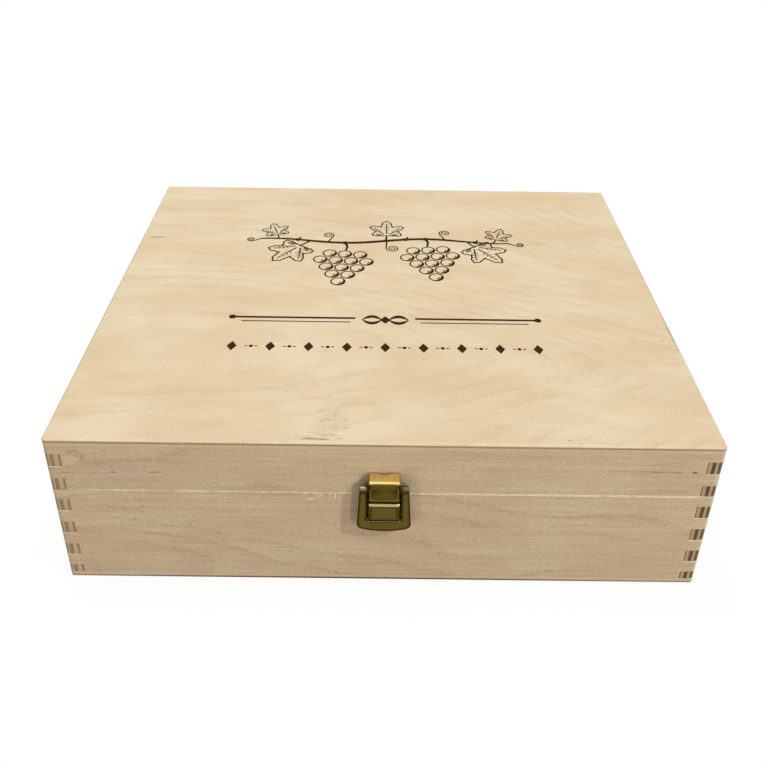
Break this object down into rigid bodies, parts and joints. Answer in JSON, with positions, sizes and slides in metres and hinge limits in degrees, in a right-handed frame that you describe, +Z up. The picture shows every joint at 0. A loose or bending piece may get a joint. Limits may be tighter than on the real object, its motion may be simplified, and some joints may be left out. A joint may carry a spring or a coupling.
{
  "type": "wine box",
  "caption": "Hinged plywood wine box, finger-jointed and sawn into base and lid, with bottle dividers, butt hinges and a pressed-brass draw latch.",
  "frame": {"origin": "middle of the underside, where the box rests", "axes": "+X to the right seen from the latch side, +Y from the latch to the hinges, +Z up"},
  "size_m": [0.34, 0.3064, 0.097],
  "materials": {
    "wall_plywood": "bare sanded birch plywood, fine level grain",
    "panel_plywood": "bare sanded three-ply birch panel",
    "divider_plywood": "bare thin birch plywood",
    "hinge_plate": "brass-plated sheet, satin",
    "screw_brass": "brass-plated screw, satin",
    "latch_brass": "antiqued brass sheet, satin, darker on its faces",
    "latch_nail": "antiqued brass nail",
    "pin_steel": "plated steel wire pin"
  },
  "bodies": {
    "base": {"base_front_wall": "wall_plywood", "base_back_wall": "wall_plywood", "base_left_wall": "wall_plywood", "base_right_wall": "wall_plywood", "base_bottom_panel": "panel_plywood", "bottle_divider_front": "divider_plywood", "bottle_divider_rear": "divider_plywood", "hinge_left_base_leaf": "hinge_plate", "hinge_right_base_leaf": "hinge_plate", "hinge_left_pin": "pin_steel", "hinge_right_pin": "pin_steel", "hinge_base_screws": "screw_brass", "latch_base_plate": "latch_brass", "latch_base_nails": "latch_nail", "latch_lever_pin": "pin_steel"},
    "lid": {"lid_front_wall": "wall_plywood", "lid_back_wall": "wall_plywood", "lid_left_wall": "wall_plywood", "lid_right_wall": "wall_plywood", "lid_top_panel": "panel_plywood", "hinge_left_lid_leaf": "hinge_plate", "hinge_right_lid_leaf": "hinge_plate", "hinge_lid_screws": "screw_brass", "latch_striker": "latch_brass", "latch_striker_nails": "latch_nail"},
    "latch_lever": {"latch_lever": "latch_brass", "latch_tongue_pin": "pin_steel"},
    "latch_tongue": {"latch_tongue": "latch_brass"}
  },
  "joints": [
    {"name": "lid_hinge", "type": "hinge", "parent": "base", "child": "lid", "pos_m": [0, 0.1496, 0.06415], "axis": [-1, 0, 0], "range_deg": [0, 180]},
    {"name": "latch_lever_hinge", "type": "hinge", "parent": "base", "child": "latch_lever", "pos_m": [0, -0.151, 0.07065], "axis": [-1, 0, 0], "range_deg": [0, 100]},
    {"name": "latch_tongue_hinge", "type": "hinge", "parent": "latch_lever", "child": "latch_tongue", "pos_m": [0, -0.1518, 0.0641], "axis": [-1, 0, 0], "range_deg": [-108, 0]}
  ],
  "couplings": [
    {"joint": "latch_tongue_hinge", "follows": "latch_lever_hinge", "ratio": -1}
  ]
}
